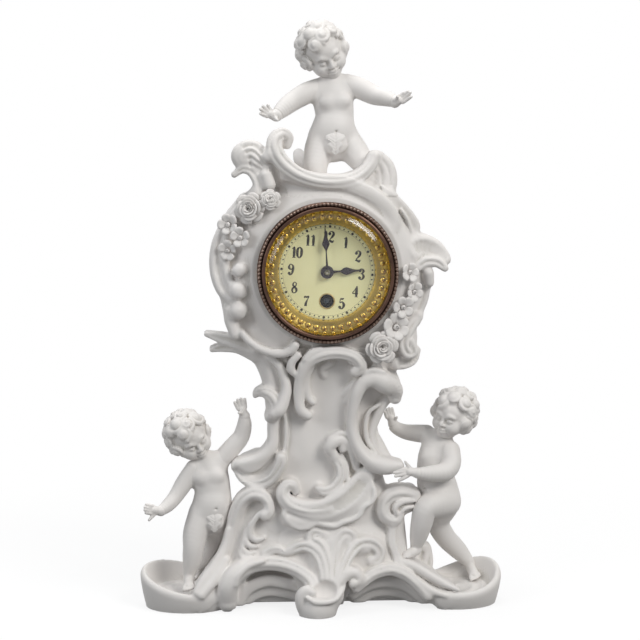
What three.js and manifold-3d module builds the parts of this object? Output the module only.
// A rococo mantel clock in unglazed porcelain: a scrolled case in four castings, three putti, applied
// flowers, and a spring-driven balance movement in a brass drum with a hinged glass in front.
// Millimetres, +Z up, the dial faces -Y, and the origin is on the floor under the middle of the footprint.
import * as THREE from "three";
import { mergeVertices } from "three/addons/utils/BufferGeometryUtils.js";
import Module from "manifold-3d";

const wasm = await Module();
wasm.setup();

// Driving dimensions of the case
const HALF_WIDTH = 120; // to the outer edge of each foot scroll
const HALF_DEPTH = 54; // from the middle of the footprint to the front foot and to the back
const GAP = 0.3; // slip joint between two porcelain pieces
const BASE_TOP = 84; // joint between the base and the pedestal
const PEDESTAL_TOP = 172; // joint between the pedestal and the clock housing
const HOUSING_TOP = 270; // joint between the housing and the crest
const FOOT_WALL = 9; // porcelain left round the hollow under the base
const HOLLOW_HEIGHT = 44;
const VENT_R = 15; // hole up the middle of the pedestal

// Driving dimensions of the clock, measured from the centre of the dial
const CLOCK_X = 3;
const CLOCK_Z = 221;
const FRONT_Y = -26; // the flat seat on the porcelain, in front
const BACK_Y = 41; // the flat seat at the back
const CAN_R = 38.5;
const CAN_WALL = 0.8;
const CAN_CLEARANCE = 0.7;
const FLANGE_WIDTH = 5.5; // from the drum out to the flange's edge
const FLANGE_R = CAN_R + FLANGE_WIDTH;
const FLANGE_T = 1;
const BEZEL_LAP = 1.5; // how far the bezel reaches past the flange
const BEZEL_R = FLANGE_R + BEZEL_LAP;
const BEZEL_WIDTH = 5.5; // of the bezel's face
const BEZEL_INNER_R = BEZEL_R - BEZEL_WIDTH;
const BEZEL_FRONT_Y = -36.5;
const GLASS_LAP = 1.2; // glass held behind the bezel's face
const GLASS_R = BEZEL_INNER_R + GLASS_LAP;
const GLASS_T = 1.4;
const GLASS_DOME = 3;
const GLASS_RIM = 1.6; // width of the flat rim round the dome
const GLASS_EDGE_R = GLASS_R - GLASS_RIM;
const SIGHT_R = 31;
const DIAL_Y = -20.8; // the dial's printed face
const DIAL_T = 0.8;
const WINDING_DROP = 19; // from the centre down to the winding square
const WINDING_HOLE_R = 4.5;
const PLATE_CLEARANCE = 0.4; // between the plates and the drum
const PLATE_R = CAN_R - CAN_WALL - PLATE_CLEARANCE;
const PLATE_T = 1.2;
const FRONT_PLATE_Y = -14;
const BACK_PLATE_Y = 14;
const ARBOR_R = 0.8;
const HOUR_PIPE_R = 2.5;
const RUN = 0.15; // running clearance of an arbor in its hole
const TOUCH = 0.1; // clearance between two seated metal pieces
const HINGE_PIN_R = 0.7;
const KNUCKLE_R = 1.5;

const ROUND = 24; // sides of the large turned pieces, alike so that they nest

// Colours, roughness and metalness as THREE materials
const finish = (color, roughness, metalness, extra = {}) =>
  new THREE.MeshStandardMaterial({ color, roughness, metalness, ...extra });
const BISQUE = finish(0xe6e1dc, 0.75, 0);
const COPPER = finish(0x6b4436, 0.35, 1);
const GILT = finish(0xc9a227, 0.25, 1);
const BRASS = finish(0xb08d45, 0.35, 1);
const STEEL = finish(0x8a8d90, 0.35, 1);
const BLUED = finish(0x2b2730, 0.4, 0.6);
const ENAMEL = finish(0xe2dcb8, 0.4, 0);
const CLEAR = finish(0xf2f6f4, 0.05, 0, { transparent: true, opacity: 0.3 });

// Solids from three.js geometry, and back
const solid = (geometry) => {
  const g = geometry.clone();
  for (const name of Object.keys(g.attributes)) if (name !== "position") g.deleteAttribute(name);
  const merged = mergeVertices(g, 1e-4);
  const made = new wasm.Mesh({
    numProp: 3,
    vertProperties: new Float32Array(merged.attributes.position.array),
    triVerts: new Uint32Array(merged.index.array),
  });
  return new wasm.Manifold(made);
};
const geometryOf = (shape) => {
  const { vertProperties, triVerts } = shape.getMesh();
  const g = new THREE.BufferGeometry();
  g.setAttribute("position", new THREE.BufferAttribute(new Float32Array(vertProperties), 3));
  g.setIndex(new THREE.BufferAttribute(new Uint32Array(triVerts), 1));
  g.computeVertexNormals();
  return g;
};
const join = (shapes) => shapes.reduce((all, next) => all.add(next));
const largestFirst = (shape) => shape.decompose().sort((a, b) => b.volume() - a.volume());
const mainBody = (shape) => largestFirst(shape)[0];

const root = new THREE.Group();
const clock = new THREE.Group();
clock.position.set(CLOCK_X, 0, CLOCK_Z);
root.add(clock);
const place = (group, name, shape, material) => {
  const mesh = new THREE.Mesh(shape.isBufferGeometry ? shape : geometryOf(shape), material);
  mesh.name = name;
  group.add(mesh);
};

// A closed skin over rings of equal count, pointed at both ends
const skin = (rings, first, last) => {
  const count = rings[0].length;
  const points = [first, ...rings.flat(), last];
  const faces = [];
  const at = (ring, k) => 1 + ring * count + (k % count);
  for (let k = 0; k < count; k++) {
    faces.push(0, at(0, k + 1), at(0, k));
    faces.push(points.length - 1, at(rings.length - 1, k), at(rings.length - 1, k + 1));
    for (let ring = 0; ring + 1 < rings.length; ring++) {
      faces.push(at(ring, k), at(ring, k + 1), at(ring + 1, k));
      faces.push(at(ring, k + 1), at(ring + 1, k + 1), at(ring + 1, k));
    }
  }
  const g = new THREE.BufferGeometry();
  g.setAttribute("position", new THREE.Float32BufferAttribute(points.flatMap((p) => p.toArray()), 3));
  g.setIndex(faces);
  const made = solid(g);
  if (made.volume() > 0) return made;
  for (let i = 0; i < faces.length; i += 3) [faces[i], faces[i + 1]] = [faces[i + 1], faces[i]];
  g.setIndex(faces);
  return solid(g);
};

// A round bar along control points [x, y, z, radius], round at both ends. depth stretches the section
// towards the back, and grow swells it, for the clearance that a neighbour is cut with.
const ROUND_END = [0.72, 0.7];
const bar = (points, { sides = 7, depth = 1, grow = 0, steps = 1 } = {}) => {
  const centres = points.map(([x, y, z]) => new THREE.Vector3(x, y, z));
  const curve = new THREE.CatmullRomCurve3(centres, false, "centripetal");
  const count = (points.length - 1) * steps;
  const radiusAt = (t) => {
    const f = t * (points.length - 1);
    const i = Math.min(points.length - 2, Math.floor(f));
    return THREE.MathUtils.lerp(points[i][3], points[i + 1][3], f - i) + grow;
  };
  const rings = [];
  let across = new THREE.Vector3(0, 1, 0);
  const ringAt = (centre, tangent, r) => {
    const back = (r - grow) * depth + grow;
    const side = across.clone().addScaledVector(tangent, -across.dot(tangent)).normalize();
    const out = new THREE.Vector3().crossVectors(tangent, side);
    across = side;
    return Array.from({ length: sides }, (_, k) => {
      const turn = (2 * Math.PI * (k + 0.5)) / sides;
      return centre
        .clone()
        .addScaledVector(out, r * Math.cos(turn))
        .addScaledVector(side, back * Math.sin(turn));
    });
  };
  const tangentAt = (t) => curve.getTangent(t);
  if (Math.abs(tangentAt(0).y) > 0.9) across = new THREE.Vector3(1, 0, 0);
  const start = tangentAt(0);
  const end = tangentAt(1);
  const r0 = radiusAt(0);
  const r1 = radiusAt(1);
  rings.push(ringAt(centres[0].clone().addScaledVector(start, -r0 * ROUND_END[0]), start, r0 * ROUND_END[1]));
  for (let i = 0; i <= count; i++) {
    const t = i / count;
    rings.push(ringAt(curve.getPoint(t), tangentAt(t), radiusAt(t)));
  }
  const last = centres[centres.length - 1];
  rings.push(ringAt(last.clone().addScaledVector(end, r1 * ROUND_END[0]), end, r1 * ROUND_END[1]));
  return skin(rings, centres[0].clone().addScaledVector(start, -r0), last.clone().addScaledVector(end, r1));
};

// A plain four-sided taper between two points [x, y, z, radius], for a finger
const taper = (from, to, grow = 0) => {
  const a = new THREE.Vector3(...from);
  const b = new THREE.Vector3(...to);
  const along = b.clone().sub(a).normalize();
  const side = new THREE.Vector3(0, 1, 0).addScaledVector(along, -along.y).normalize();
  const out = new THREE.Vector3().crossVectors(along, side);
  const ring = (centre, r) =>
    [side, out, side.clone().negate(), out.clone().negate()].map((d) => centre.clone().addScaledVector(d, r + grow));
  const tip = b.clone().addScaledVector(along, (to[3] + grow) * 0.9);
  return skin([ring(a, from[3]), ring(b, to[3])], a, tip);
};

// A ball or egg, from its centre and three half sizes
const egg = (x, y, z, rx, ry = rx, rz = rx, grow = 0, sides = 8, layers = 5) => {
  const rings = [];
  for (let i = 1; i < layers; i++) {
    const lift = -Math.PI / 2 + (Math.PI * i) / layers;
    rings.push(
      Array.from({ length: sides }, (_, k) => {
        const turn = (2 * Math.PI * k) / sides;
        return new THREE.Vector3(
          x + (rx + grow) * Math.cos(lift) * Math.cos(turn),
          y + (ry + grow) * Math.cos(lift) * Math.sin(turn),
          z + (rz + grow) * Math.sin(lift),
        );
      }),
    );
  }
  return skin(rings, new THREE.Vector3(x, y, z - rz - grow), new THREE.Vector3(x, y, z + rz + grow));
};

// A loft through level sections [z, centre x, centre y, half width, half depth], as rounded boxes
const SQUARENESS = 2.8;
const column = (sections, sides = 24, grow = 0) => {
  const rings = sections.map(([z, x, y, hx, hy]) =>
    Array.from({ length: sides }, (_, k) => {
      const turn = (2 * Math.PI * (k + 0.5)) / sides;
      const c = Math.cos(turn);
      const s = Math.sin(turn);
      const reach = (Math.abs(c) ** SQUARENESS + Math.abs(s) ** SQUARENESS) ** (-1 / SQUARENESS);
      return new THREE.Vector3(x + (hx + grow) * reach * c, y + (hy + grow) * reach * s, z);
    }),
  );
  const bottom = sections[0];
  const top = sections[sections.length - 1];
  return skin(rings, new THREE.Vector3(bottom[1], bottom[2], bottom[0]), new THREE.Vector3(top[1], top[2], top[0]));
};

// A turned piece from a profile [radius, y], about the clock's axis, which runs along Y
const turned = (profile, sides = 40) => {
  const g = new THREE.LatheGeometry(profile.map(([r, y]) => new THREE.Vector2(r, y)), sides);
  const made = solid(g);
  if (made.volume() > 0) return made;
  return solid(new THREE.LatheGeometry(profile.slice().reverse().map(([r, y]) => new THREE.Vector2(r, y)), sides));
};
const disc = (r, y0, y1, x = 0, z = 0, sides = 12) => {
  const made = turned([[0, y0], [r, y0], [r, y1], [0, y1]], sides);
  return made.translate([x, 0, z]);
};
const tube = (outer, inner, y0, y1, x = 0, z = 0, sides = 12) =>
  turned([[inner, y0], [outer, y0], [outer, y1], [inner, y1], [inner, y0]], sides).translate([x, 0, z]);
const block = (x0, x1, y0, y1, z0, z1) =>
  solid(new THREE.BoxGeometry(x1 - x0, y1 - y0, z1 - z0)).translate([(x0 + x1) / 2, (y0 + y1) / 2, (z0 + z1) / 2]);
const upright = (r, x, y, z0, z1, sides = 10) =>
  solid(new THREE.CylinderGeometry(r, r, z1 - z0, sides).rotateX(Math.PI / 2)).translate([x, y, (z0 + z1) / 2]);

// A flat plate of any outline in the clock's plane, between two depths
const flat = (outline, y0, y1) => {
  const shape = new THREE.Shape(outline.map(([x, z]) => new THREE.Vector2(x, z)));
  const g = new THREE.ExtrudeGeometry(shape, { depth: y1 - y0, bevelEnabled: false });
  g.rotateX(Math.PI / 2);
  g.translate(0, y1, 0);
  return solid(g);
};

// PORCELAIN: the masses of the case
const MOUND = [
  [0, 2, 17, 74, HALF_DEPTH - 17],
  [14, 2, 17, 73, HALF_DEPTH - 18],
  [34, 0, 15, 61, 35],
  [60, -3, 13, 50, 33],
  [88, 0, 11, 38, 31],
  [112, 1, 10, 33, 30],
  [140, 1, 9, 34, 30],
  [178, 3, 8, 43, 31],
];
// The drum is lofted along Y: [y, half width, half height]
const DRUM = [
  [FRONT_Y, 47.5, 47.5],
  [-20, 57, 54],
  [-8, 65, 59],
  [14, 65.5, 59.5],
  [32, 59, 54],
  [BACK_Y, 48, 47],
];
const drum = (grow) => {
  const sides = 18;
  const front = FRONT_Y - grow;
  const back = BACK_Y + grow;
  const rings = DRUM.map(([y, rx, rz]) =>
    Array.from({ length: sides }, (_, k) => {
      const turn = (2 * Math.PI * k) / sides;
      return new THREE.Vector3(
        CLOCK_X + (rx + grow) * Math.cos(turn),
        y === FRONT_Y ? front : y === BACK_Y ? back : y,
        CLOCK_Z + (rz + grow) * Math.sin(turn),
      );
    }),
  );
  return skin(rings, new THREE.Vector3(CLOCK_X, front, CLOCK_Z), new THREE.Vector3(CLOCK_X, back, CLOCK_Z));
};
// Each foot is a shallow dish whose rim rises towards the back
const DISH = { x: HALF_WIDTH - 32, y: -12, rx: 32, ry: 27, front: 11, back: 23, sunk: 5, rim: 6 };
const dish = (side, grow) => {
  const sides = 14;
  const ring = (inset, drop) =>
    Array.from({ length: sides }, (_, k) => {
      const turn = (2 * Math.PI * k) / sides;
      const share = (1 + Math.sin(turn)) / 2;
      const height = THREE.MathUtils.lerp(DISH.front, DISH.back, share ** 1.5);
      return new THREE.Vector3(
        side * DISH.x + (DISH.rx - inset + grow) * Math.cos(turn),
        DISH.y + (DISH.ry - inset + grow) * Math.sin(turn),
        Math.max(0, height - drop) + (drop < 50 ? grow : 0),
      );
    });
  const floor = (DISH.front + DISH.back) / 2 - DISH.sunk + grow;
  const rings = [ring(1.5, 99), ring(0, 6), ring(DISH.rim * 0.35, 0), ring(DISH.rim, 2), ring(DISH.rim + 5, DISH.sunk)];
  return skin(rings, new THREE.Vector3(side * DISH.x, DISH.y, 0), new THREE.Vector3(side * DISH.x, DISH.y, floor));
};

// Scrolls of the base, as bars [x, y, z, radius]
const FLANK_LEFT = [
  [-70, -22, 22, 4.6], [-62, -20, 36, 4.8], [-60, -19, 60, 4.8], [-52, -22, 74, 4.8], [-40, -25, 76, 4.8],
  [-34.5, -26, 66, 4.6],
];
const FLANK_RIGHT = [
  [
    49, -27, 31, 4], [45, -24, 50, 4], [37.5, -23, 64, 4.6], [42, -23, 75, 4.8], [54, -20, 75, 4.8], [57,
    -17, 65, 4.6,
  ],
];
const WING_LEFT = [[-62, -2, 18, 13], [-56, -3, 45, 10], [-48, -7, 68, 9]];
const WING_RIGHT = [[60, 2, 14, 14], [52, -1, 44, 10], [50, -5, 68, 9]];
const ARCH_LEFT = [
  [-64, -36, 11, 8], [-65, -35, 23, 5.6], [-49, -31, 31.5, 4.6], [-28, -30, 32.5, 4.6], [-7, -40, 20, 5.4],
];
const ARCH_RIGHT = [[16, -38, 18, 4.6], [34, -32, 27, 4.8], [50, -31, 28, 4.8], [69, -35, 15, 4.4]];
const FRONT_CUP = { x: -2, y: HALF_DEPTH - 14.5, z: 8, rx: 15.5, ry: 14.5, rz: 14 };
const NICHES = [
  { x: -36, y: -42, z: 0, rx: 24, ry: 26, rz: 27 },
  { x: 41, y: -42, z: -2, rx: 27, ry: 26, rz: 25 },
];
// The shell over the front foot: ribs [x, y, z, radius] fanning up from the cup
const FAN = [
  [[0, -46, 13, 3.4], [-5, -36, 29, 3.8], [-32, -26, 39, 3.6]],
  [[3, -46, 15, 3.4], [4, -36, 31, 3.8], [8, -27, 48, 3.6]],
  [[6, -46, 15, 3.4], [18, -33, 36, 3.8], [36, -26, 43, 3.6]],
];
const CARTOUCHE = [
  [-18, -27, 80, 3.8], [-25.5, -28, 78, 4.6], [-18, -29, 68.5, 4.4], [0, -30, 66.5, 3.8], [17, -28, 76, 3.6],
  [24, -26, 86, 3.2],
];
const SKIRT = [[-22, -25, 62, 6], [-6, -26, 58.5, 6.2], [14, -25, 62.5, 6.2], [29, -22, 78, 5.4]];
// Scrolls of the pedestal
const EDGE_LEFT = [
  [-34, -19, 132, 4.8], [-36, -18, 108, 4.8], [-54, -20, 96, 5.2], [-48, -21, 86, 5.2], [-31, -24, 91, 4.6],
];
const RIDGE_LEFT = [[-34, -22, 166, 3.6], [-25.5, -24, 155, 4], [-24.5, -25, 140, 4.6], [-31, -25, 130, 4.4]];
const STRIP_LEFT = [[-51, -13, 172, 6.5], [-39, -15, 153, 7.5], [-34, -15, 128, 7]];
const TOP_ARCH = [[-12, -29, 161, 3.6], [0, -30, 169, 4], [19, -29, 167, 4.2], [24, -28, 157, 4.4]];
const BIG_C = [
  [45, -25, 147, 5.8], [33, -27, 154, 5.4], [21, -27, 138, 5], [20.5, -26, 114, 5], [33, -25, 96.5, 5.2],
  [49, -26, 93.5, 4.4],
];
const C_BACK = [[46, -12, 139, 7], [35, -7, 124, 7], [37, -12, 104, 7], [44, -17, 95, 6]];
// Scrolls of the housing
const BAND_LEFT = [
  [
    -49, -15, 274, 4.4], [-62, -12, 259, 4.8], [-70.5, -10, 240, 4.8], [-70, -10, 219, 5], [-60, -16, 203.5,
    5,
  ],
];
const BACK_LEFT = [[-50, -4, 262, 9], [-60, -2, 240, 10.5], [-58, -3, 206, 10.5], [-48, -8, 178, 9]];
const LOWER_LEFT = [[-58.5, -18, 194, 4.6], [-50, -22, 178, 4.2], [-32, -27, 171, 4], [-18.5, -28, 174, 3.6]];
const LEAF_LEFT = [[-44, -14, 169, 8], [-58, -12, 173, 6], [-75, -8, 179, 2.4]];
const EAR = [[58, -8, 234, 9], [72, -11, 235, 7.6], [81.5, -13, 228, 4]];
const BAND_RIGHT = [[66, -6, 216, 7], [66, -6, 203, 7], [61, -8, 188, 7]];
const SCROLL_RIGHT = [[60, -12, 190, 5.6], [54.5, -16, 175, 5.8], [60, -15, 159.5, 4.6]];
const LOWER_RIGHT = [[62, -9, 173, 5.6], [44, -14, 158, 7.4]];
const TOP_RIDGE = [[-36, -22, 279, 4], [-14, -26, 278, 4.2], [20, -28, 271, 4.6], [42, -27, 254, 5.2]];
// Scrolls of the crest
const CRADLE = [
  [
    -20.5, -14, 305, 4.6], [-27, -15, 310, 5.2], [-29, -19, 296, 5.6], [-14, -21, 283.5, 5.2], [14, -20,
    280, 5,
  ],
  [33.5, -14, 294.5, 5.2],
];
const CREST_BACK = [[-32, -6, 283, 9], [-10, -4, 275, 9], [12, -4, 274, 9], [34, -6, 277, 10]];
const CREST_FAN = [[-33, -12, 288, 9], [-46, -11, 296, 8.5], [-56.5, -10, 284.5, 4]];
const CREST_STEM = [[-44, -12, 286, 5.4], [-41, -13, 268, 7]];
const CREST_KNOB = [-34, -18, 295.5, 4.6];
const CREST_LEAF = [[38, -9, 292, 6], [44, -10, 281, 8.4], [41, -11, 268, 8]];

const RIDGE_DEPTH = 1.9; // a scroll's depth into the case, as a share of its width
// The whole case before it is divided into its castings
const wholeCase = (grow = 0) => {
  const bars = (...lists) =>
    lists.map((points) => {
      const set = points.map(([x, y, z, r]) => [x, y + r * (RIDGE_DEPTH - 1), z, r]);
      return bar(set, { sides: points[1][3] < 6 ? 4 : 5, depth: RIDGE_DEPTH, grow });
    });
  const masses = [column(MOUND, 14, grow), drum(grow), dish(-1, grow), dish(1, grow)];
  const base = bars(
    FLANK_LEFT, FLANK_RIGHT, WING_LEFT, WING_RIGHT, ARCH_LEFT,
    ARCH_RIGHT, ...FAN, CARTOUCHE, SKIRT,
  );
  const cup = egg(FRONT_CUP.x, -FRONT_CUP.y, FRONT_CUP.z, FRONT_CUP.rx, FRONT_CUP.ry, FRONT_CUP.rz, grow, 12, 6);
  const pedestal = bars(
    EDGE_LEFT, RIDGE_LEFT, STRIP_LEFT, TOP_ARCH, BIG_C, C_BACK,
  );
  const housing = bars(
    BAND_LEFT, BACK_LEFT, LOWER_LEFT, LEAF_LEFT, EAR, BAND_RIGHT, SCROLL_RIGHT,
    LOWER_RIGHT, TOP_RIDGE,
  );
  const crest = bars(CRADLE, CREST_BACK, CREST_FAN, CREST_STEM, CREST_LEAF);
  const [knobX, knobY, knobZ, knobR] = CREST_KNOB;
  crest.push(egg(knobX, knobY, knobZ, knobR, knobR, knobR, grow));
  const niches = join(NICHES.map((n) => egg(n.x, n.y, n.z, n.rx, n.ry, n.rz, -grow, 10, 6)));
  const body = join(masses).subtract(niches);
  return join([body, cup, ...base, ...pedestal, ...housing, ...crest]);
};

// PORCELAIN: the putti, each a body, a head and two arms, in bars [x, y, z, radius]
const PUTTI = {
  top: {
    torso: [
      [8, 6, 341, 7.5], [8.3, 5, 335, 12], [8.5, 4, 326, 12.8], [9.3, 3, 317, 12.8], [8.3, 3, 308, 14],
      [9, 3, 301, 10],
    ],
    legs: [
      [
        [2, 4, 306, 9.5], [-1.5, 0, 297, 9], [-3, -4, 288, 7.5], [-3, 0, 284.5, 6.5], [-8, 12, 285, 5.8],
        [-12, 22, 287, 4.4],
      ],
      [
        [16, 4, 305, 9.5], [22, 1, 297, 9], [27.5, -1, 289, 7.6], [27.5, 6, 284, 6.4], [24, 18, 283, 5.2],
        [20, 26, 284, 4],
      ],
    ],
    neck: [[8, 6, 339, 6], [7.5, 5, 350, 5]],
    arms: {
      right: [
        [-1.5, 5, 338, 6.8], [-10, 2, 334, 6.2], [-17.5, -1, 328.5, 5.6], [-23.5, -5, 324, 4.8],
        [-28.5, -9, 320.5, 3.4],
      ],
      left: [
        [17.5, 5, 341, 6.8], [26, 3, 337, 6.4], [34.5, 0, 332.5, 5.4], [42, -4, 331, 4.6],
        [47, -8, 329.5, 3.4],
      ],
    },
    hands: {
      right: {
        palm: [[-29, -9.5, 320.7, 3.2], [-33.5, -12.5, 322.5, 3.4]],
        tips: [[-40, -17, 322.5], [-39.5, -16, 325.5], [-36.5, -15, 328]], thumb: [-29.5, -17, 319],
      },
      left: {
        palm: [[47.5, -8.5, 329.8, 3.2], [50.5, -11.5, 332.5, 3.2]],
        tips: [[55, -13, 337], [58, -14, 336.5], [58.5, -15, 334]], thumb: [49.5, -16, 334],
      },
    },
    head: {
      at: [1.6, 3, 363.6], size: [16.8, 15.6, 17.4], chin: [8, -6, 351], face: [0.26, -0.86, -0.36],
      crown: [-0.44, 0.1, 0.88],
    },
  },
  left: {
    torso: [
      [-75, -10, 97, 6.5], [-73.5, -10, 91, 11.5], [-73, -11, 82, 12.6], [-72, -12, 73, 12.4],
      [-73, -12, 63.5, 13.6], [-73, -12, 57, 10],
    ],
    legs: [
      [
        [-79, -13, 61, 9.5], [-83, -17, 50, 8.6], [-86, -20, 40, 6.6], [-87.5, -19, 31, 6.2],
        [-89, -18.5, 22, 4.2], [-90, -23, 17.5, 3.8], [-91, -29, 16.5, 3],
      ],
      [
        [-68, -9, 57, 9], [-69.5, -3, 46, 7.2], [-73, 4, 36, 5.4], [-78, 9, 25, 4.8], [-82, 11, 18, 3.6],
        [-84, 6, 16, 3],
      ],
    ],
    neck: [[-75.5, -10, 95, 6], [-79, -12, 103, 5]],
    arms: {
      right: [
        [-84, -12, 91.5, 6.4], [-91, -14, 81.5, 5.8], [-96.5, -18, 73, 4.9], [-101.5, -24, 68.5, 4.2],
        [-105.5, -28, 66, 3.3],
      ],
      left: [
        [-65, -9, 97.5, 6.4], [-57.5, -8, 105, 6], [-51.5, -8, 111, 5.2], [-49, -10, 119, 4.4],
        [-49, -11, 125, 3.3],
      ],
    },
    hands: {
      right: {
        palm: [[-106, -28.3, 66, 3.1], [-110, -30.5, 67.5, 3.2]],
        tips: [[-115, -32, 71.5], [-116, -33, 68.5], [-115.5, -33, 65.5]], thumb: [-112.5, -33, 61],
      },
      left: {
        palm: [[-49, -11.3, 125.5, 3.1], [-51, -12, 129.5, 3.2]],
        tips: [[-55.5, -13, 135], [-52.5, -13, 137], [-49, -13, 136.5]], thumb: [-54, -17, 130],
      },
    },
    head: {
      at: [-87.6, -11.4, 112.6], size: [15.2, 14.4, 14.6], chin: [-80, -19, 102.5], face: [0.44, -0.84, -0.2],
      crown: [-0.56, 0.1, 0.8],
    },
  },
  right: {
    torso: [
      [81.5, -5, 108, 7], [79.5, -4, 101, 12], [78.5, -5, 93, 13.4], [77, -6, 83, 12.4],
      [79.5, -5, 70, 13.8], [82, -4, 62, 11],
    ],
    legs: [
      [
        [85, -10, 68, 10], [76, -16, 67, 9.4], [67.5, -21, 64.5, 7.8], [65, -20, 55, 7.2],
        [63.5, -18, 46, 6], [62.5, -17, 38, 4.2], [59, -22, 34.5, 3.6], [53.5, -26, 33.2, 2.6],
      ],
      [
        [84.5, -2, 60.5, 10], [82.5, 2, 50, 8], [86.5, 5, 39, 6.8], [94, 6, 29, 5.6], [100.5, 4, 21, 4.2],
        [102.5, -1, 16.5, 3.6], [103, -6, 15, 2.8],
      ],
    ],
    neck: [[81.5, -5, 106, 6.5], [85, -7, 114.5, 5.2]],
    arms: {
      right: [[71.5, 2, 110, 6.4], [64.5, 5, 110, 5.6], [56, 8, 110.5, 4.8], [50, 9, 113.5, 3.9]],
      left: [
        [87, -13, 101, 7.6], [88, -17, 93.5, 7.4], [80.5, -21.5, 89.8, 6.2], [70.5, -24.5, 89.5, 5.2],
        [61.5, -27, 90.5, 3.7],
      ],
    },
    hands: {
      right: {
        palm: [[49.8, 9, 114, 3.4], [47.5, 8, 119, 3.2]],
        tips: [[45, 6, 124.5], [47, 7, 126], [49.5, 8, 125]], thumb: [52, 6, 119],
      },
      left: {
        palm: [[61, -27.2, 90.6, 3.3], [57, -28.3, 91, 3.4]],
        tips: [[48.5, -29, 90], [49.5, -30, 87.5], [52.5, -30, 84.5]], thumb: [53.5, -29, 97],
      },
    },
    head: {
      at: [90.4, -8.4, 126.4], size: [15, 14.6, 15], chin: [80, -15, 116.5], face: [-0.62, -0.74, -0.02],
      crown: [0.34, 0.05, 0.92],
    },
  },
};
const FINGER_R = 1.15;

const puttoBody = ({ torso, legs, neck }, grow = 0) =>
  join([
    bar(torso, { sides: 7, depth: 0.86, grow }),
    ...legs.map((leg) => bar(leg, { sides: 5, grow })),
    bar(neck, { sides: 6, grow }),
  ]);
const puttoArm = (arm, hand, grow = 0) => {
  const wrist = hand.palm[1];
  const finger = (tip) => taper([...wrist.slice(0, 3), FINGER_R * 1.3], [...tip, FINGER_R], grow);
  return join([
    bar([...arm, hand.palm[1]], { sides: 5, grow }),
    ...hand.tips.map(finger),
    finger(hand.thumb),
  ]);
};
// The hair is a skull whose surface rises and falls in curls, smooth over the face
const CURLS_ROUND = 5;
const CURL_HEIGHT = 0.07;
const puttoHead = ({ at, size, chin, face, crown }) => {
  const up = new THREE.Vector3(...crown).normalize();
  const front = new THREE.Vector3(...face);
  front.addScaledVector(up, -front.dot(up)).normalize();
  const side = new THREE.Vector3().crossVectors(up, front);
  const centre = new THREE.Vector3(...at);
  const SIDES = 10;
  const LAYERS = 6;
  const pointAt = (lift, turn) => {
    const facing = Math.max(0, Math.cos(turn)) * Math.cos(lift);
    const bump = Math.cos(CURLS_ROUND * turn) * Math.cos(4 * lift) * CURL_HEIGHT;
    const hair = 0.98 + bump - 0.16 * Math.min(1, facing * 1.6) * (lift > 0.7 ? 0 : 1);
    return centre
      .clone()
      .addScaledVector(up, size[2] * hair * Math.sin(lift))
      .addScaledVector(front, size[1] * hair * Math.cos(lift) * Math.cos(turn))
      .addScaledVector(side, size[0] * hair * Math.cos(lift) * Math.sin(turn));
  };
  const rings = [];
  for (let i = 1; i < LAYERS; i++) {
    const lift = -Math.PI / 2 + (Math.PI * i) / LAYERS;
    rings.push(Array.from({ length: SIDES }, (_, k) => pointAt(lift, (2 * Math.PI * k) / SIDES)));
  }
  const skull = skin(rings, pointAt(-Math.PI / 2, 0), pointAt(Math.PI / 2, 0));
  const jaw = bar([[...at, size[0] * 0.62], [...chin, size[0] * 0.26]], { sides: 7 });
  const nose = centre.addScaledVector(front, size[1] * 0.9).addScaledVector(up, -size[2] * 0.32);
  return join([skull, jaw, egg(nose.x, nose.y, nose.z, 1.8, 1.8, 1.8, 0, 4, 2)]);
};

// PORCELAIN: hand-modelled flowers and leaves. Each ring of petals is one cupped dish with a scalloped rim.
const petals = ({ r, count, cup, turn = 0, grow = 0 }) => {
  const sides = count * 3;
  const ring = (share, y, scallop) =>
    Array.from({ length: sides }, (_, k) => {
      const angle = (2 * Math.PI * k) / sides + THREE.MathUtils.degToRad(turn);
      const dip = scallop * Math.abs(Math.sin((count * (2 * Math.PI * k)) / sides / 2));
      const reach = r * share * (1 - dip) + grow;
      return new THREE.Vector3(reach * Math.sin(angle), y, reach * Math.cos(angle));
    });
  const rings = [ring(1, -cup * 0.8 + grow, 0.28), ring(0.98, -cup * 1.1 - grow, 0.28)];
  rings.push(ring(0.4, -r * 0.08 - grow, 0.1));
  return skin(rings, new THREE.Vector3(0, r * 0.22 + grow, 0), new THREE.Vector3(0, -r * 0.34 - grow, 0));
};
const set = (shape, { x, y, z, yaw = 0, pitch = 0 }) => shape.rotate([pitch, 0, yaw]).translate([x, y, z]);
// The stalk of clay that a flower is luted on with. It runs back until the case cuts it.
const STALK = 16;
const stalk = (r, grow) =>
  solid(new THREE.CylinderGeometry(r * 0.3 + grow, r * 0.4 + grow, STALK, 6)).translate([0, STALK / 2, 0]);
const blossom = (at, grow) => {
  const ring = petals({ r: at.r, count: at.count ?? 5, cup: at.r * 0.25, turn: at.turn, grow });
  return set(ring.add(stalk(at.r, grow)), at);
};
const rose = (at, grow) => {
  const outer = petals({ r: at.r, count: 5, cup: at.r * 0.2, turn: at.turn, grow });
  const heart = petals({ r: at.r * 0.6, count: 4, cup: at.r * 0.4, turn: 40, grow });
  return set(join([outer, heart.translate([0, -at.r * 0.3, 0]), stalk(at.r, grow)]), at);
};
const leaf = (at, grow) => {
  const { r } = at;
  const row = (t, half) => [
    new THREE.Vector3(-half * r - grow, -0.1 * r * t, t * r),
    new THREE.Vector3(0, -0.08 * r - grow, t * r),
    new THREE.Vector3(half * r + grow, -0.1 * r * t, t * r),
    new THREE.Vector3(0, 0.1 * r + grow, t * r),
  ];
  const rows = [row(0, 0.16), row(0.35, 0.42), row(0.75, 0.36)];
  const blade = skin(rows, new THREE.Vector3(0, 0, -0.1 * r - grow), new THREE.Vector3(0, -0.1 * r, r * 1.05 + grow));
  return set(blade.rotate([0, at.turn, 0]), at);
};
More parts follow.
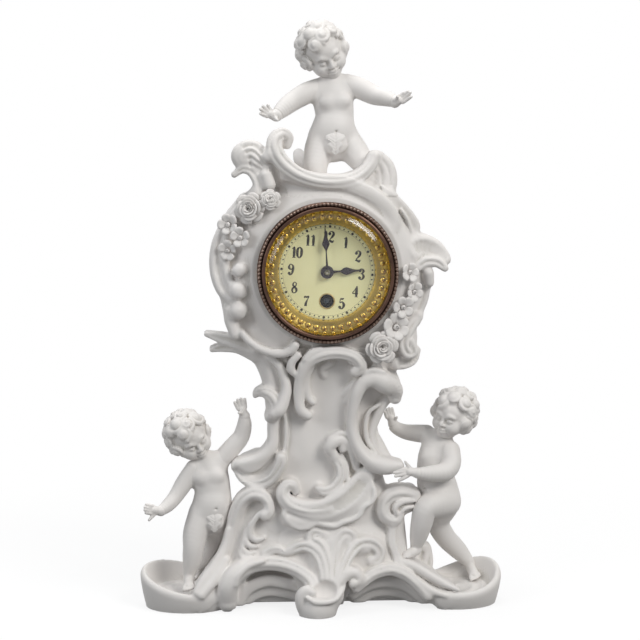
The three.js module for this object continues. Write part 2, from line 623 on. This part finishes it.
const FLOWERS = {
  left_rose: [rose, { r: 11, x: -46, y: -20, z: 263, yaw: -25, pitch: 10 }],
  left_bud: [rose, { r: 7, x: -33.5, y: -23, z: 268.5, yaw: -5, pitch: 15 }],
  left_blossom_1: [blossom, { r: 6.4, x: -60, y: -17, z: 251.5, turn: 20, yaw: -30 }],
  left_blossom_2: [blossom, { r: 6, x: -52.5, y: -23, z: 243.5, turn: 50, yaw: -20 }],
  left_blossom_3: [blossom, { r: 5.6, x: -60.5, y: -18, z: 235, turn: 5, yaw: -25 }],
  right_blossom_1: [blossom, { r: 5.6, x: 56, y: -25, z: 221, turn: 15, yaw: 25 }],
  right_blossom_2: [blossom, { r: 5.2, x: 59, y: -22.5, z: 208, turn: 40, yaw: 25 }],
  right_blossom_3: [blossom, { r: 6.4, x: 51.5, y: -25.5, z: 198.5, turn: 0, yaw: 20 }],
  right_blossom_4: [blossom, { r: 8, x: 47, y: -26, z: 185.5, turn: 30, yaw: 18, count: 6 }],
  right_rose: [rose, { r: 11, x: 36, y: -28, z: 170.5, yaw: 8, pitch: -8 }],
  right_leaf_1: [leaf, { r: 12, x: 25, y: -29, z: 163, turn: 250 }],
  right_leaf_2: [leaf, { r: 13, x: 35.5, y: -29, z: 160, turn: 185 }],
};

// CLOCK: toothed wheels
const TOOTH_TIP = 0.7;
const TOOTH_ROOT = 1.3;
const wheelOutline = (teeth, module_, phase) => {
  const pitch = (teeth * module_) / 2;
  const points = [];
  for (let k = 0; k < teeth; k++) {
    const turn = phase + (2 * Math.PI * k) / teeth;
    const half = Math.PI / teeth;
    points.push([(pitch + TOOTH_TIP * module_) * Math.cos(turn), (pitch + TOOTH_TIP * module_) * Math.sin(turn)]);
    points.push([
      (pitch - TOOTH_ROOT * module_) * Math.cos(turn + half),
      (pitch - TOOTH_ROOT * module_) * Math.sin(turn + half),
    ]);
  }
  return points;
};
const toothed = ({ teeth, module: m, x, z, y0, y1, phase }) =>
  flat(wheelOutline(teeth, m, phase), y0, y1).translate([x, 0, z]);
const polar = (from, distance, degrees) => ({
  x: from.x + distance * Math.cos(THREE.MathUtils.degToRad(degrees)),
  z: from.z + distance * Math.sin(THREE.MathUtils.degToRad(degrees)),
});
const meshDistance = (a, b, m) => ((a + b) * m) / 2;
// Phases that put a tooth of the driver and a space of the driven one on the line of centres
const tipTowards = (degrees) => THREE.MathUtils.degToRad(degrees);
const spaceTowards = (degrees, teeth) => THREE.MathUtils.degToRad(degrees) + Math.PI / teeth;

const PINION = 6;
const TRAIN_TEETH = 30;
const CANNON_TEETH = 8;
const MINUTE_TEETH = 24;
const HOUR_TEETH = 24;
const ESCAPE_TEETH = 15;
const GREAT_MODULE = (2 * WINDING_DROP) / (TRAIN_TEETH + PINION);
const CENTRE_MODULE = 0.833;
const THIRD_MODULE = 0.7;
const FOURTH_MODULE = 0.622;
const MOTION_MODULE = 0.5;
const HOUR_MODULE = (MOTION_MODULE * (CANNON_TEETH + MINUTE_TEETH)) / (PINION + HOUR_TEETH);
const THIRD_ANGLE = 130;
const FOURTH_ANGLE = 20;
const ESCAPE_ANGLE = -20;
const MINUTE_ANGLE = 200;
const CENTRE = { x: 0, z: 0 };
const BARREL = { x: 0, z: -WINDING_DROP };
const THIRD = polar(CENTRE, meshDistance(TRAIN_TEETH, PINION, CENTRE_MODULE), THIRD_ANGLE);
const FOURTH = polar(THIRD, meshDistance(TRAIN_TEETH, PINION, THIRD_MODULE), FOURTH_ANGLE);
const ESCAPE = polar(FOURTH, meshDistance(TRAIN_TEETH, PINION, FOURTH_MODULE), ESCAPE_ANGLE);
const MINUTE = polar(CENTRE, meshDistance(CANNON_TEETH, MINUTE_TEETH, MOTION_MODULE), MINUTE_ANGLE);
const PALLET = { x: ESCAPE.x + 4.9, z: ESCAPE.z - 8.4 };
const BALANCE = { x: 16, z: -10.5 };
const CLICK = { x: 8.4, z: -WINDING_DROP + 5.4 };
const DIAL_FEET = [60, 180, 300].map((angle) => polar({ x: 0, z: 0 }, 31, angle));
const PILLARS = [
  { x: -24.6, z: 17.2 },
  { x: 24.6, z: 17.2 },
  { x: -22, z: -21 },
  { x: 22, z: -21 },
];
const PLATE_GAP_Y0 = FRONT_PLATE_Y + PLATE_T;

const pivotHoles = (list) => join(list.map(({ x, z, r = ARBOR_R }) => disc(r + RUN, -60, 60, x, z, 6)));
const arbor = (at, y0, y1, r = ARBOR_R) => disc(r, y0, y1, at.x, at.z, 6);

const addMovement = () => {
  const WINDING_R = 1.9;
  const WINDING_BORE = (WINDING_R + RUN) / Math.cos(Math.PI / 6); // six flats, so that the arbor can turn in it
  const trainAxes = [CENTRE, { ...BARREL, r: WINDING_BORE - RUN }];
  const END_PLAY = 0.2;
  const y0 = PLATE_GAP_Y0 + END_PLAY;
  const y1 = BACK_PLATE_Y - END_PLAY;
  const PILLAR_R = 1.6;
  const front = disc(PLATE_R, FRONT_PLATE_Y, PLATE_GAP_Y0, 0, 0, ROUND).subtract(pivotHoles(trainAxes));
  const minuteStud = arbor(MINUTE, FRONT_PLATE_Y - 4.2, PLATE_GAP_Y0 - 0.1);
  place(clock, "front_plate", front.add(minuteStud), BRASS);
  const back = disc(PLATE_R, BACK_PLATE_Y, BACK_PLATE_Y + PLATE_T, 0, 0, ROUND).subtract(pivotHoles(trainAxes));
  const pillars = PILLARS.map(({ x, z }) => disc(PILLAR_R, PLATE_GAP_Y0 + TOUCH, BACK_PLATE_Y + 0.4, x, z, 6));
  place(clock, "back_plate", join([back, ...pillars]), BRASS);

  // Great wheel and barrel, with the winding arbor and ratchet through it
  const DRUM_R = 14;
  const barrelBore = disc(WINDING_BORE, -20, 20, 0, 0, 6);
  const barrelShell = disc(DRUM_R, -10, 3.2, 0, 0, 12);
  const greatWheel = flat(wheelOutline(TRAIN_TEETH, GREAT_MODULE, tipTowards(90)), 3, 4.6);
  const barrel = join([barrelShell, greatWheel]).subtract(barrelBore);
  place(clock, "spring_barrel", barrel.translate([0, 0, BARREL.z]), BRASS);
  const RATCHET_R = 5;
  const square = block(-1.25, 1.25, DIAL_Y + 1.4, FRONT_PLATE_Y - 2.6, BARREL.z - 1.25, BARREL.z + 1.25);
  const ratchetOutline = Array.from({ length: 24 }, (_, k) => {
    const turn = (2 * Math.PI * k) / 24;
    const r = k % 2 ? RATCHET_R : RATCHET_R - 1.2;
    return [r * Math.cos(turn), r * Math.sin(turn)];
  });
  const ratchet = flat(ratchetOutline, FRONT_PLATE_Y - 2, FRONT_PLATE_Y - 0.6).translate([0, 0, BARREL.z]);
  const shaft = arbor(BARREL, FRONT_PLATE_Y - 2.8, BACK_PLATE_Y + PLATE_T, WINDING_R);
  const windingArbor = join([shaft, ratchet, square]);
  place(clock, "winding_arbor", windingArbor, STEEL);
  const CLICK_REACH = 4.4;
  const clickOutline = [
    [-1.6, -1], [1.4, -1.4], [1.8, 1], [-1.2, 1.4], [-CLICK_REACH, 0.6], [-CLICK_REACH + 0.2, -0.6],
  ];
  const clickBody = flat(clickOutline, FRONT_PLATE_Y - 1.8, FRONT_PLATE_Y - 0.5);
  place(clock, "click", clickBody.rotate([0, -20, 0]).translate([CLICK.x + 2.2, 0, CLICK.z + 1.4]), STEEL);

  // Centre arbor: wheel, pinion, cannon pinion and the seat of the minute hand
  const centreWheel = toothed({
    teeth: TRAIN_TEETH, module: CENTRE_MODULE, ...CENTRE, y0: -12.2, y1: -11.2, phase: tipTowards(THIRD_ANGLE),
  });
  const centrePinion = toothed({
    teeth: PINION, module: GREAT_MODULE, ...CENTRE, y0: 2.4, y1: 5.4, phase: spaceTowards(-90, PINION),
  });
  const centreSleeve = disc(2.1, -12.5, 5.8, 0, 0, 6);
  const centreBore = disc(ARBOR_R + RUN, -20, 20, 0, 0, 6);
  place(clock, "centre_wheel", join([centreWheel, centreSleeve, centrePinion]).subtract(centreBore), BRASS);
  const CANNON_R = 1.5;
  const cannonTeeth = toothed({
    teeth: CANNON_TEETH, module: MOTION_MODULE, ...CENTRE, y0: -16, y1: -14.5, phase: tipTowards(MINUTE_ANGLE),
  });
  const cannon = disc(CANNON_R, -24.8, -14.5, 0, 0, 8);
  const centreArbor = join([arbor(CENTRE, -26.8, 23), cannonTeeth, cannon]);
  place(clock, "centre_arbor", centreArbor, STEEL);
  const KNOB_Y = 18;
  const knob = join([disc(5, KNOB_Y, KNOB_Y + 3), disc(2.4, KNOB_Y - 1.6, KNOB_Y + 5.2, 0, 0, 8)]);
  place(clock, "setting_knob", knob.subtract(disc(ARBOR_R + TOUCH, 0, 60, 0, 0, 8)), BRASS);

  // Third, fourth and escape wheels, each riveted to its pinion and arbor
  const wheelOnArbor = (at, wheel, pinion) => join([arbor(at, y0, y1), wheel, pinion]);
  const thirdWheel = toothed({
    teeth: TRAIN_TEETH, module: THIRD_MODULE, ...THIRD, y0: -7, y1: -6.2, phase: tipTowards(FOURTH_ANGLE),
  });
  const thirdPinion = toothed({
    teeth: PINION, module: CENTRE_MODULE, ...THIRD, y0: -12.5, y1: -10.8, phase: spaceTowards(THIRD_ANGLE + 180, PINION),
  });
  place(clock, "third_wheel", wheelOnArbor(THIRD, thirdWheel, thirdPinion), BRASS);
  const fourthWheel = toothed({
    teeth: TRAIN_TEETH, module: FOURTH_MODULE, ...FOURTH, y0: -2, y1: -1.2, phase: tipTowards(ESCAPE_ANGLE),
  });
  const fourthPinion = toothed({
    teeth: PINION, module: THIRD_MODULE, ...FOURTH, y0: -7.5, y1: -5.7, phase: spaceTowards(FOURTH_ANGLE + 180, PINION),
  });
  place(clock, "fourth_wheel", wheelOnArbor(FOURTH, fourthWheel, fourthPinion), BRASS);
  const ESCAPE_R = 6.4;
  const escapeOutline = Array.from({ length: ESCAPE_TEETH * 2 }, (_, k) => {
    const turn = (Math.PI * k) / ESCAPE_TEETH + (k % 2 ? 0.13 : 0);
    const r = k % 2 ? ESCAPE_R : ESCAPE_R - 1.7;
    return [r * Math.cos(turn), r * Math.sin(turn)];
  });
  const escapeTeeth = flat(escapeOutline, 4, 4.8).translate([ESCAPE.x, 0, ESCAPE.z]);
  const escapePinion = toothed({
    teeth: PINION, module: FOURTH_MODULE, ...ESCAPE, y0: -2.5, y1: -0.7, phase: spaceTowards(ESCAPE_ANGLE + 180, PINION),
  });
  place(clock, "escape_wheel", wheelOnArbor(ESCAPE, escapeTeeth, escapePinion), BRASS);

  // Pallet lever, balance and hairspring
  const toEscape = Math.atan2(ESCAPE.z - PALLET.z, ESCAPE.x - PALLET.x);
  const leverTurn = -THREE.MathUtils.radToDeg(toEscape);
  const PIN_R = 0.35;
  const HORN = 4.2;
  const anchorOutline = [
    [
      -1.2, -1], [1, -1.1], [2.4, -HORN], [3.4, -HORN], [2.2, 0], [3.4, HORN], [2.4, HORN], [1, 1.1], [-1.2,
      1,
    ],
  ];
  const forkOutline = [
    [
      0.5, -0.7], [0.5, 0.7], [-7.2, 0.5], [-8.4, 1.3], [-8.8, 1], [-8, 0], [-8.8, -1], [-8.4, -1.3], [-7.2,
      -0.5,
    ],
  ];
  const anchor = flat(anchorOutline, 5.4, 6.2);
  const fork = flat(forkOutline, 5.4, 6.2);
  const pins = join([-1, 1].map((s) => disc(PIN_R, 3.6, 5.8, 2.9, s * (HORN - 0.5), 6)));
  const forkTurn = -THREE.MathUtils.radToDeg(Math.atan2(PALLET.z - BALANCE.z, PALLET.x - BALANCE.x));
  const lever = join([
    anchor.rotate([0, leverTurn, 0]),
    pins.rotate([0, leverTurn, 0]),
    fork.rotate([0, forkTurn, 0]),
    disc(ARBOR_R, y0, y1, 0, 0, 8),
  ]).translate([PALLET.x, 0, PALLET.z]);
  place(clock, "pallet_lever", lever, STEEL);
  const BALANCE_R = 10;
  const rim = tube(BALANCE_R, BALANCE_R - 1.6, 8, 9.6, 0, 0, 14);
  const arms = block(-BALANCE_R + 1, BALANCE_R - 1, 8.2, 9.2, -0.9, 0.9);
  const roller = join([disc(2.2, 6.4, 7.2, 0, 0, 10), disc(0.4, 5.6, 6.8, -1.5, 0.2, 6)]);
  const staff = disc(ARBOR_R, y0, y1, 0, 0, 8);
  const balance = join([rim, arms, staff, roller.rotate([0, forkTurn + 180, 0])]);
  place(clock, "balance_wheel", balance.translate([BALANCE.x, 0, BALANCE.z]), BRASS);
  const coil = spiral({ r0: 1.3, r1: 6.4, turns: 3, steps: 6, thick: 0.3, y0: 11, y1: 12 });
  place(clock, "hairspring", coil.translate([BALANCE.x, 0, BALANCE.z]), STEEL);
  const indexY0 = BACK_PLATE_Y + PLATE_T + TOUCH;
  const indexY1 = indexY0 + 0.8;
  const regulator = join([
    tube(2.6, 1.3, indexY0, indexY1),
    flat([[2, -0.5], [9.5, -0.35], [9.5, 0.35], [2, 0.5]], indexY0, indexY1),
  ]);
  place(clock, "regulator", regulator.rotate([0, -20, 0]).translate([BALANCE.x, 0, BALANCE.z]), STEEL);

  // Motion work behind the dial
  const towardsCentre = MINUTE_ANGLE + 180;
  const minuteTeeth = toothed({
    teeth: MINUTE_TEETH, module: MOTION_MODULE, ...MINUTE, y0: -16, y1: -14.5,
    phase: spaceTowards(towardsCentre, MINUTE_TEETH),
  });
  const minutePinion = toothed({
    teeth: PINION, module: HOUR_MODULE, ...MINUTE, y0: -18, y1: -15.9, phase: tipTowards(towardsCentre),
  });
  const minuteBore = disc(ARBOR_R + RUN, -30, 0, MINUTE.x, MINUTE.z, 8);
  place(clock, "minute_wheel", minuteTeeth.add(minutePinion).subtract(minuteBore), BRASS);
  const hourBore = disc(CANNON_R + 0.3, -30, 0, 0, 0, 8);
  const hourTeeth = toothed({
    teeth: HOUR_TEETH, module: HOUR_MODULE, ...CENTRE, y0: -17.8, y1: -16.8,
    phase: spaceTowards(MINUTE_ANGLE, HOUR_TEETH),
  });
  place(clock, "hour_wheel", hourTeeth.add(disc(HOUR_PIPE_R, -23.4, -16.8, 0, 0, 8)).subtract(hourBore), BRASS);
};

// A flat spiral strip about the clock's axis, from an inner to an outer radius
const spiral = ({ r0, r1, turns, steps, thick, y0, y1 }) => {
  const count = turns * steps;
  const side = (offset) =>
    Array.from({ length: count + 1 }, (_, k) => {
      const turn = (2 * Math.PI * k) / steps;
      const r = r0 + ((r1 - r0) * k) / count + offset;
      return [r * Math.cos(turn), r * Math.sin(turn)];
    });
  return flat([...side(thick / 2), ...side(-thick / 2).reverse()], y0, y1);
};

// CLOCK: hands, with a swelling before each point
const handOutline = (length, eye, swellAt, swell) => [
  [
    -eye * 0.7, -eye * 0.7], [0, -eye], [eye * 0.7, -eye * 0.7], [eye, 0], [eye * 0.5, eye * 0.9], [0.45,
    eye + 0.6,
  ],
  [0.5, swellAt - swell * 1.6], [swell, swellAt - swell * 0.5], [swell * 0.9, swellAt + swell * 0.4],
  [0.55, swellAt + swell * 2], [0.3, length], [-0.3, length], [-0.55, swellAt + swell * 2],
  [-swell * 0.9, swellAt + swell * 0.4], [-swell, swellAt - swell * 0.5], [-0.5, swellAt - swell * 1.6],
  [-0.45, eye + 0.6], [-eye * 0.5, eye * 0.9], [-eye, 0],
];
const MINUTE_LENGTH = 29.5;
const HOUR_LENGTH = 22.5;
const addHands = () => {
  const eye = (r) => disc(r + TOUCH, -30, -20, 0, 0, 8);
  const minute = flat(handOutline(MINUTE_LENGTH, 3.2, 18.5, 2.1), -25.7, -25).subtract(eye(ARBOR_R));
  place(clock, "minute_hand", minute.rotate([0, -2, 0]), BLUED);
  const hour = flat(handOutline(HOUR_LENGTH, 3.8, 12.5, 2), -23.3, -22.7).subtract(eye(HOUR_PIPE_R));
  place(clock, "hour_hand", hour.rotate([0, 89, 0]), BLUED);
  place(clock, "hand_nut", disc(1.7, -26.9, -25.8, 0, 0, 6).subtract(eye(ARBOR_R)), STEEL);
};

// CLOCK: dial, drum, bezel, glass and rear cover
const HINGE_INSET = 1.7; // from the bezel's edge in to its pin
const HINGE_X = HINGE_INSET - BEZEL_R;
const HINGE_Y = -29.2;
const KNUCKLE = 4; // length of each knuckle
const PLAY = 0.25; // end play between knuckles
const SLOT_HALF = KNUCKLE / 2 + 0.6 * PLAY; // half height of the slot round the fixed knuckle
const REAR_RING_T = 1.5;
const REAR_HINGE_OUT = 3.9; // from the drum out to the rear pin
const REAR_HINGE_X = -CAN_R - REAR_HINGE_OUT;
const REAR_HINGE_Y = BACK_Y + 4.6;

const knuckleAt = (x, y, z0, z1) => upright(KNUCKLE_R, x, y, z0, z1, 6);
const addCase = () => {
  // The drum with its front flange
  const canBack = BACK_Y + 2.9;
  const inner = CAN_R - CAN_WALL;
  const canProfile = [
    [inner, FRONT_Y - TOUCH - FLANGE_T], [FLANGE_R, FRONT_Y - TOUCH - FLANGE_T], [FLANGE_R, FRONT_Y - TOUCH],
    [CAN_R, FRONT_Y - TOUCH], [CAN_R, canBack], [inner, canBack], [inner, FRONT_Y - TOUCH - FLANGE_T],
  ];
  const fixedKnuckle = knuckleAt(HINGE_X, HINGE_Y, -KNUCKLE / 2, KNUCKLE / 2);
  const tab = block(HINGE_X - 0.6, HINGE_X + 1.4, HINGE_Y, FRONT_Y - TOUCH - FLANGE_T / 2, -KNUCKLE / 2, KNUCKLE / 2);
  const pinHole = upright(HINGE_PIN_R + RUN, HINGE_X, HINGE_Y, -20, 20, 6);
  const can = join([turned(canProfile, ROUND), fixedKnuckle, tab]).subtract(pinHole);
  place(clock, "movement_drum", can, BRASS);

  const dialR = inner - 0.5;
  const dial = disc(dialR, DIAL_Y, DIAL_Y + DIAL_T, 0, 0, ROUND)
    .subtract(disc(HOUR_PIPE_R + 0.6, -30, 0, 0, 0, 8))
    .subtract(disc(WINDING_HOLE_R, -30, 0, 0, -WINDING_DROP, 12));
  const feet = DIAL_FEET.map(({ x, z }) => disc(1.2, DIAL_Y + 0.1, FRONT_PLATE_Y - TOUCH, x, z, 6));
  place(clock, "dial", join([dial, ...feet]), ENAMEL);

  // Bezel: the rim, with a notch at the left for the hinge
  const bezelProfile = [
    [
      BEZEL_INNER_R, BEZEL_FRONT_Y + 1], [BEZEL_INNER_R + 2.2, BEZEL_FRONT_Y], [BEZEL_R - 1.4,
      BEZEL_FRONT_Y + 1.8,
    ],
    [BEZEL_R, BEZEL_FRONT_Y + 3.4], [BEZEL_R, HINGE_Y + 0.6], [BEZEL_R - 0.9, HINGE_Y + 1.6],
    [GLASS_R + 0.2, HINGE_Y + 1.6], [GLASS_R + 0.2, BEZEL_FRONT_Y + 3], [BEZEL_INNER_R, BEZEL_FRONT_Y + 3],
    [BEZEL_INNER_R, BEZEL_FRONT_Y + 1],
  ];
  const reachZ = KNUCKLE * 1.5 + PLAY;
  const notchX = HINGE_X + KNUCKLE_R + 1.3;
  const notch = block(-BEZEL_R - 2, notchX, HINGE_Y - KNUCKLE_R - 0.3, HINGE_Y + 4, -SLOT_HALF, SLOT_HALF);
  const moving = [-1, 1].map((s) => {
    const from = s * (KNUCKLE / 2 + PLAY);
    const to = s * reachZ;
    return knuckleAt(HINGE_X, HINGE_Y, Math.min(from, to), Math.max(from, to));
  });
  const bezel = join([turned(bezelProfile, ROUND), ...moving]).subtract(notch).subtract(pinHole);
  place(clock, "bezel", bezel, COPPER);
  place(clock, "bezel_hinge_pin", upright(HINGE_PIN_R, HINGE_X, HINGE_Y, -reachZ, reachZ, 6), STEEL);

  const glassBack = BEZEL_FRONT_Y + 3 + TOUCH + GLASS_T;
  const glassFront = glassBack - GLASS_T;
  const domed = (y, rise) => [
    ...[0, 0.55].map((k) => [GLASS_EDGE_R * k, y - rise * (1 - k ** 2)]), [GLASS_EDGE_R, y], [GLASS_R, y],
  ];
  const glass = turned([...domed(glassBack, GLASS_DOME), ...domed(glassFront, GLASS_DOME).reverse()], ROUND);
  place(clock, "glass", glass, CLEAR);

  // Gilt sight ring behind the glass, stepped down to the dial
  const ringFront = glassBack + TOUCH;
  const sightProfile = [
    [
      GLASS_R, ringFront], [GLASS_R, ringFront + 0.9], [GLASS_EDGE_R, ringFront + 0.9], [GLASS_EDGE_R - 3.1, -26.4], [SIGHT_R + 0.4,
      DIAL_Y - TOUCH - 0.3,
    ],
    [
      SIGHT_R, DIAL_Y - TOUCH - 0.3], [SIGHT_R, DIAL_Y - 1.6], [GLASS_EDGE_R - 3.6, -27.8], [GLASS_EDGE_R, ringFront], [GLASS_R,
      ringFront,
    ],
  ];
  place(clock, "sight_ring", turned(sightProfile, ROUND), GILT);

  // Rear ring against the porcelain, and the hinged dust cover
  const ringY = BACK_Y + TOUCH;
  const rearPin = upright(HINGE_PIN_R + RUN, REAR_HINGE_X, REAR_HINGE_Y, -20, 20, 6);
  const tabY = ringY + REAR_RING_T / 2;
  const rearTab = block(REAR_HINGE_X - 0.8, REAR_HINGE_X + 0.8, tabY, REAR_HINGE_Y, -KNUCKLE / 2, KNUCKLE / 2);
  const rearRing = join([
    tube(FLANGE_R, CAN_R + TOUCH, ringY, ringY + REAR_RING_T, 0, 0, ROUND),
    knuckleAt(REAR_HINGE_X, REAR_HINGE_Y, -KNUCKLE / 2, KNUCKLE / 2),
    rearTab,
  ]).subtract(rearPin);
  place(clock, "rear_ring", rearRing, BRASS);
  const coverY = canBack + 0.3;
  const COVER_T = 0.8;
  const cover = disc(CAN_R + 0.9, coverY, coverY + COVER_T, 0, 0, ROUND);
  const latch = block(CAN_R - 1, CAN_R + 4, coverY, coverY + COVER_T, -3, 3);
  const coverLeaf = block(REAR_HINGE_X, -CAN_R + 2, REAR_HINGE_Y - 0.6, REAR_HINGE_Y + 0.6, -reachZ, reachZ);
  const slotX = REAR_HINGE_X + KNUCKLE_R + 0.5;
  const gapForKnuckle = block(REAR_HINGE_X - 4, slotX, coverY - 3, coverY + 6, -SLOT_HALF, SLOT_HALF);
  const coverKnuckles = [-1, 1].map((s) => {
    const from = s * (KNUCKLE / 2 + PLAY);
    const to = s * reachZ;
    return knuckleAt(REAR_HINGE_X, REAR_HINGE_Y, Math.min(from, to), Math.max(from, to));
  });
  const dustCover = join([cover, latch, coverLeaf, ...coverKnuckles]).subtract(gapForKnuckle);
  place(clock, "rear_cover", dustCover.subtract(rearPin), BRASS);
  place(clock, "rear_hinge_pin", upright(HINGE_PIN_R, REAR_HINGE_X, REAR_HINGE_Y, -reachZ, reachZ, 6), STEEL);
};

// Divides the case at its level joints, and gives each loose scrap to the casting that it touches
const divideCase = (whole) => {
  const far = 400;
  const levels = [-1, BASE_TOP, PEDESTAL_TOP, HOUSING_TOP, far];
  const slices = levels.slice(1).map((top, i) => whole.intersect(block(-far, far, -far, far, levels[i], top)));
  const parts = slices.map((s) => largestFirst(s));
  const mains = parts.map(([main]) => main);
  parts.forEach(([, ...scraps], i) =>
    scraps.forEach((scrap) => {
      for (const j of [i - 1, i + 1]) {
        if (j < 0 || j >= mains.length) continue;
        const joined = mains[j].add(scrap);
        if (joined.decompose().length === 1) {
          mains[j] = joined;
          return;
        }
      }
    }),
  );
  return mains;
};

const addPorcelain = () => {
  const far = 400;
  const putti = Object.entries(PUTTI);
  const swollenBodies = putti.map(([, p]) => puttoBody(p, GAP));
  const swollenArms = putti.flatMap(([, p]) => ["right", "left"].map((s) => puttoArm(p.arms[s], p.hands[s], GAP)));
  const bore = disc(CAN_R + CAN_CLEARANCE, -far, far, CLOCK_X, CLOCK_Z, ROUND);
  const ventBar = new THREE.CylinderGeometry(VENT_R, VENT_R, CLOCK_Z, 12).rotateX(Math.PI / 2);
  const vent = solid(ventBar).translate([1, 14, CLOCK_Z / 2]);
  const bezelRoom = disc(BEZEL_R + 1.6, -60, FRONT_Y, CLOCK_X, CLOCK_Z, ROUND);
  const hollow = column(
    MOUND.slice(0, 3).map(([z, x, y, hx, hy]) => [
      z * (HOLLOW_HEIGHT / 32) - 1, x, y + 1, hx - FOOT_WALL - 6, hy - FOOT_WALL,
    ]),
    16,
  );
  const bounds = block(-HALF_WIDTH, HALF_WIDTH, -HALF_DEPTH, HALF_DEPTH, 0, far);
  const cuts = join([bore, vent, hollow, bezelRoom, ...swollenBodies, ...swollenArms]);
  const castings = divideCase(wholeCase().intersect(bounds).subtract(cuts));
  const names = ["base", "pedestal", "clock_housing", "crest"];
  castings.forEach((shape, i) => place(root, names[i], shape, BISQUE));

  for (const [name, p] of putti) {
    const arms = ["right", "left"].map((s) => puttoArm(p.arms[s], p.hands[s]));
    const armRoom = join(["right", "left"].map((s) => puttoArm(p.arms[s], p.hands[s], GAP)));
    const bodyRoom = puttoBody(p, GAP);
    place(root, name + "_putto_body", mainBody(puttoBody(p).subtract(armRoom)), BISQUE);
    place(root, name + "_putto_head", mainBody(puttoHead(p.head).subtract(bodyRoom).subtract(armRoom)), BISQUE);
    place(root, name + "_putto_right_arm", mainBody(arms[0]), BISQUE);
    place(root, name + "_putto_left_arm", mainBody(arms[1]), BISQUE);
  }

  const caseRoom = wholeCase(GAP);
  const neighbours = [caseRoom, bezelRoom];
  for (const [name, [make, at]] of Object.entries(FLOWERS)) {
    const shape = neighbours.reduce((rest, room) => rest.subtract(room), make(at, 0));
    place(root, name, mainBody(shape), BISQUE);
    neighbours.push(make(at, GAP));
  }
};

addPorcelain();
addMovement();
addHands();
addCase();

export default root;
